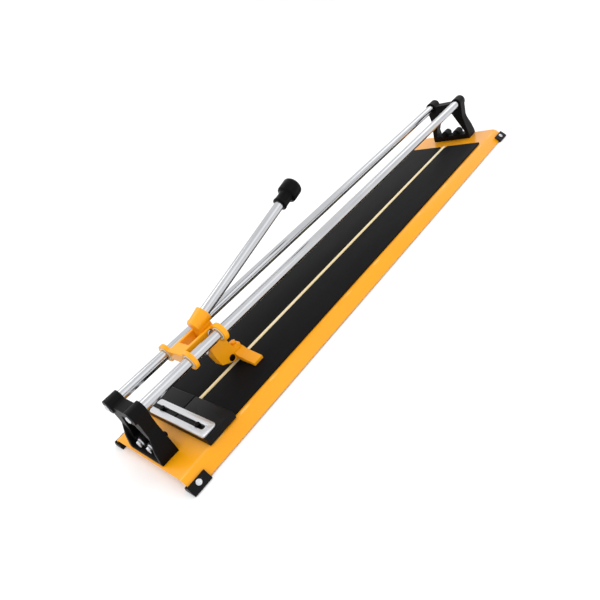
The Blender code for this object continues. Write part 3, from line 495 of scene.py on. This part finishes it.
def domed_head(radius, height, shank, length):
    """A domed screw, its head's top at the origin."""
    dome = [(radius * math.cos(step), -height * 0.6 + height * 0.6 * math.sin(step))
            for step in [math.radians(15 * i) for i in range(6)]]
    piece = turn([(shank, -height - length), (shank, -height), (radius, -height), *dome])
    cross_cut(piece, radius, radius * 0.22, 0, height * 0.5)
    round_edges(piece, 0.1 * MM, 2, 35)
    return piece


FOOT_HEAD_RADIUS = 4.2 * MM
FOOT_HEAD_TOP = 4.2 * MM          # above the screw's middle, along it
outward = Vector((bed_top - bed_low.z, 0, bed_high.x - fold_x)).normalized()
rows = []
for end, along_bed in (("near", -1), ("far", 1)):
    for hand, side in (("left", -1), ("right", 1)):
        node = f"foot_screw_{end}_{hand}"
        low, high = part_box(node)
        way = Vector((side * outward.x, 0, outward.z))
        head_top = (low + high) / 2 + way * FOOT_HEAD_TOP
        rows.append((f"foot_screw_head_{end}_{hand}", head_top, way, zinc, "zinc_plate", "bed", node))
place_copies(domed_head(FOOT_HEAD_RADIUS, 1.9 * MM, 1.8 * MM, 5 * MM), rows)

rows = []
for end, way in (("near", (0, -1, 0)), ("far", (0, 1, 0))):
    for hand in ("left", "right"):
        node = f"bar_screw_{end}_{hand}"
        rows.append((f"bar_screw_head_{end}_{hand}", end_of(node, way), way, zinc, "zinc_plate", "bed", node))
place_copies(domed_head(5.2 * MM, 2.4 * MM, 2.5 * MM, 4 * MM), rows)

rows = []
for hand in ("left", "right"):
    node = "ruler_screw_" + hand
    low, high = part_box(node)
    way = (0, 0, 1)
    rows.append((f"ruler_screw_head_{hand}", end_of(node, way), way, black, "black_paint", "bed", node))
place_copies(domed_head((high.x - low.x) / 2, 1.9 * MM, 2.5 * MM, 4 * MM), rows)


def join_to(piece, extra):
    """Make a second mesh part of a piece."""
    only(extra)
    piece.select_set(True)
    bpy.context.view_layer.objects.active = piece
    bpy.ops.object.join()


HEX_ROUND = 0.15 * MM


def hex_head(radius, height, shank, length):
    """A hexagon head with chamfered corners on a round shank, its top at the origin."""
    piece = turn([(radius * 0.82, -height), (radius, -height + 0.3 * MM),
                  (radius, -0.5 * MM), (radius * 0.86, 0)], 6)
    round_edges(piece, HEX_ROUND, 2, 20)
    join_to(piece, turn([(shank, -height - length), (shank, -height + 0.2 * MM)], 24))
    return piece


def flange_head(radius, height, shank, length):
    """A hexagon head on a round flange, its top at the origin."""
    piece = hex_head(radius * 0.86, height, shank, length)
    flange = turn([(radius, -height), (radius, -height + 1.1 * MM), (radius * 0.8, -height + 2 * MM)])
    round_edges(flange, HEX_ROUND, 2, 20)
    join_to(piece, flange)
    return piece


rows = []
for end, way in (("near", (0, -1, 0)), ("far", (0, 1, 0))):
    for hand in ("left", "right"):
        node = f"bracket_bolt_{end}_{hand}"
        rows.append((f"bolt_head_{end}_{hand}", end_of(node, way), way, zinc, "zinc_plate", "bed", node))
place_copies(flange_head(6.5 * MM, 6 * MM, 2.5 * MM, 20 * MM), rows)

rows = []
for name, node, way, material, slot in (
        ("stop_screw_head", "stop_screw", (0, -1, 0), zinc, "zinc_plate"),
        ("breaker_screw_head", "breaker_screw", (0, 0, 1), yellow, "yellow_paint")):
    rows.append((name, end_of(node, way), way, material, slot, "lever", node))
place_copies(hex_head(5.2 * MM, 3.6 * MM, 2.5 * MM, 10 * MM), rows)

NUT_RADIUS, NUT_TOP, NUT_WASHER = 5.2 * MM, 7.8 * MM, 6.4 * MM
NUT_SHOULDER = 3.4 * MM           # where the dome starts
crown = [(NUT_RADIUS * math.cos(step) * 0.98, NUT_SHOULDER + (NUT_TOP - NUT_SHOULDER) * math.sin(step))
         for step in [math.radians(14 * i) for i in range(7)]]
nut = turn([(NUT_WASHER, 0), (NUT_WASHER, 1.3 * MM), (NUT_RADIUS, 1.3 * MM), (NUT_RADIUS, 3.2 * MM), *crown])
round_edges(nut, 0.2 * MM, 2, 35)
rows = []
for end, way in (("near", (0, 1, 0)), ("far", (0, -1, 0))):
    for hand in ("left", "right"):
        node = f"bracket_nut_{end}_{hand}"
        rows.append((f"dome_nut_{end}_{hand}", seat_of(node, way), way, black, "black_paint", "bed", node))
place_copies(nut, rows)


# ---- Guide bars ----
# Two drawn steel bars, ground and chrome plated, with fine marks along them
# from the bushes. Their ends are chamfered and sit in the brackets' bosses.
def chrome_recipe(place):
    marks = place.noise(900, 3, (1, 0.01, 1))
    cloud = place.noise(14, 3)
    return {"Base Color": cloud.tint(colour(178, 179, 182), colour(204, 205, 208)),
            "Roughness": marks * 0.1 + cloud * 0.08 + 0.09,
            "Normal": marks.bump(0.000006)}


chrome = finish("chrome_plate", {"Metallic": 1.0}, chrome_recipe)
BAR_CHAMFER = 1.2 * MM
for hand in ("left", "right"):
    node = "guide_bar_" + hand
    low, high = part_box(node)
    radius = (high.z - low.z) / 2
    length = high.y - low.y
    bar = turn([(radius - BAR_CHAMFER, 0), (radius, BAR_CHAMFER),
                (radius, length - BAR_CHAMFER), (radius - BAR_CHAMFER, length)], 64)
    stand(bar, ((low.x + high.x) / 2, low.y, (low.z + high.z) / 2), (0, 1, 0))
    shade(bar)
    fit(bar, "guide_rod_" + hand, chrome, "chrome_plate", "bed", node)


# ---- Corner feet ----
# Black plastic mouldings that hook over the bed's lower corners and stand on the
# bench. Each is held by one screw through the sloping side.
for end in ("near", "far"):
    for hand in ("left", "right"):
        node = f"foot_{end}_{hand}"
        foot = from_node(node)
        cast(foot, 0.45 * MM, 3)
        fit(foot, f"corner_foot_{end}_{hand}", plastic, "black_plastic", "bed", node)


# ---- Carriage ----
# One yellow painted casting: a spine between the bars, a ring on each side at
# both ends, and nylon bushes, drawn off-white, pressed into the rings.
carriage = from_node("carriage_frame")
cast(carriage)
fit(carriage, "carriage_casting", yellow, "yellow_paint", "carriage", "carriage_frame")


def nylon_recipe(place):
    ground = place.noise(800, 2)
    return {"Base Color": ground.tint(colour(226, 214, 186), colour(240, 230, 206)),
            "Roughness": ground * 0.2 + 0.4,
            "Normal": ground.bump(0.00003)}


nylon = finish("nylon", {}, nylon_recipe)
for end in ("near", "far"):
    for hand in ("left", "right"):
        node = f"bush_{end}_{hand}"
        bush = from_node(node)
        round_edges(bush, 0.3 * MM, 2, 40)
        fit(bush, f"bush_ring_{end}_{hand}", nylon, "nylon", "carriage", node)
for node in ("pivot_pin", "pivot_clip", "pivot_washer_left", "pivot_washer_right"):
    nodes[node].data.materials.clear()
    nodes[node].data.materials.append(zinc)


# ---- Lever ----
# A yellow casting on the pivot: a round socket above for the handle, and a fork
# below for the wheel. The breaker foot is a second casting, screwed to its shelf.
for node in ("lever_arm", "breaker_foot"):
    casting = from_node(node)
    cast(casting, 0.55 * MM, 7)
    fit(casting, node + "_casting", yellow, "yellow_paint", "lever", node)

for node, material in (("wheel_axle", black), ("axle_nut", zinc)):
    piece = from_node(node)
    round_edges(piece, 0.3 * MM, 2, 40)
    slot = "black_paint" if material is black else "zinc_plate"
    fit(piece, node + "_turned", material, slot, "lever", node)


# ---- Scoring wheel ----
# A small ground wheel of hard metal with a sharp rim, free on its axle.
def carbide_recipe(place):
    ground = place.noise(2600, 2)
    return {"Base Color": ground.tint(colour(120, 122, 126), colour(176, 178, 182)),
            "Roughness": ground * 0.2 + 0.2,
            "Normal": ground.bump(0.00001)}


carbide = finish("tungsten_carbide", {"Metallic": 1.0}, carbide_recipe)
wheel = from_node("scoring_wheel")
shade(wheel)
fit(wheel, "scoring_disc", carbide, "tungsten_carbide", "wheel", "scoring_wheel")


# ---- Handle ----
# A chrome plated steel tube fixed in the lever's socket. A black plastic knob,
# with a neck and a thicker bevelled head, is pushed on its free end.
tube_low, tube_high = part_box("handle_tube")
handle_rise = math.radians(13.6)
handle_way = Vector((0, math.cos(handle_rise), math.sin(handle_rise)))
TUBE_RADIUS = 8 * MM
TUBE_CHAMFER = 0.4 * MM
KNOB_RADIUS = 16.5 * MM
KNOB_BORE = 35.7 * MM             # how far the tube goes into the knob

# The tube's two ends on its axis, from the corners of its box and its slant.
tuck = Vector((0, TUBE_RADIUS * math.sin(handle_rise), TUBE_RADIUS * math.cos(handle_rise)))
tube_start = Vector((0, tube_low.y, tube_low.z)) + tuck
tube_end = Vector((0, tube_high.y, tube_high.z)) - tuck
length = (tube_end - tube_start).length
tube = turn([(TUBE_RADIUS - TUBE_CHAMFER, 0), (TUBE_RADIUS, TUBE_CHAMFER),
             (TUBE_RADIUS, length - TUBE_CHAMFER), (TUBE_RADIUS - TUBE_CHAMFER, length)], 64)
stand(tube, tube_start, handle_way)
shade(tube)
fit(tube, "handle_bar", chrome, "chrome_plate", "lever", "handle_tube")


def knob_recipe(place):
    grain = place.noise(1500, 2)
    broad = place.noise(60, 2)
    return {"Base Color": broad.tint(colour(3, 3, 4), colour(8, 8, 9)),
            "Roughness": grain * 0.1 + broad * 0.1 + 0.2,
            "Normal": grain.bump(0.00003)}


knob_black = finish("knob_plastic", {"Specular IOR Level": 0.08}, knob_recipe)
# Collar, neck, shoulder, head and rounded top, from the open end up.
head = KNOB_RADIUS
profile = [
    (11.4 * MM, 0), (12 * MM, 0.6 * MM), (12 * MM, 2.6 * MM), (11.5 * MM, 4.6 * MM),
    (11.2 * MM, 8 * MM), (11.2 * MM, 14 * MM), (11.5 * MM, 18 * MM),
    (12.2 * MM, 19.6 * MM), (head - 2 * MM, 20.6 * MM), (head - 0.5 * MM, 21.8 * MM),
    (head, 23.6 * MM), (head, 41 * MM),
    (head - 0.8 * MM, 43 * MM), (head - 3.2 * MM, 45.4 * MM), (head - 5 * MM, 46.3 * MM),
    (head - 8 * MM, 46.8 * MM), (head - 12 * MM, 47 * MM)]
knob = turn(profile, 64)
stand(knob, tube_end - handle_way * KNOB_BORE, handle_way)
shade(knob, 50)
fit(knob, "handle_knob", knob_black, "black_plastic", "lever", "knob")
